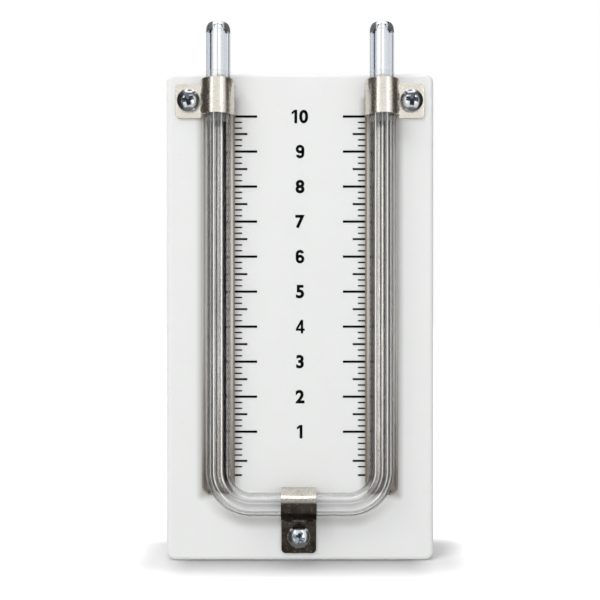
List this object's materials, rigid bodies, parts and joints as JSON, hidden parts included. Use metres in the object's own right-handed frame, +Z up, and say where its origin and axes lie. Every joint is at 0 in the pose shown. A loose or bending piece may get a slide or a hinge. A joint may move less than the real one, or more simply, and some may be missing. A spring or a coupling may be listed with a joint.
{
  "type": "u tube manometer",
  "caption": "Bent glass U tube clipped to the front of an upright white board, with a printed scale beside each limb.",
  "frame": {"origin": "on the floor under the middle of the whole object's width and depth", "axes": "+Z up along the limbs, -Y out of the face with the scale, +X to the right of a reader"},
  "size_m": [0.0764, 0.0228, 0.152],
  "materials": {
    "board": "satin white",
    "glass": "clear",
    "trough": "nickel plate",
    "sleeve": "clear",
    "clip": "bright nickel plate",
    "screw": "bright zinc",
    "ink": "black print"
  },
  "bodies": {
    "root": {"backboard": "board", "glass_u_tube": "glass", "left_backing_trough": "trough", "right_backing_trough": "trough", "left_clip_sleeve": "sleeve", "right_clip_sleeve": "sleeve", "left_tube_clip": "clip", "right_tube_clip": "clip", "bottom_tube_clip": "clip", "clip_screws": "screw", "scale_graduations": "ink"}
  },
  "joints": []
}
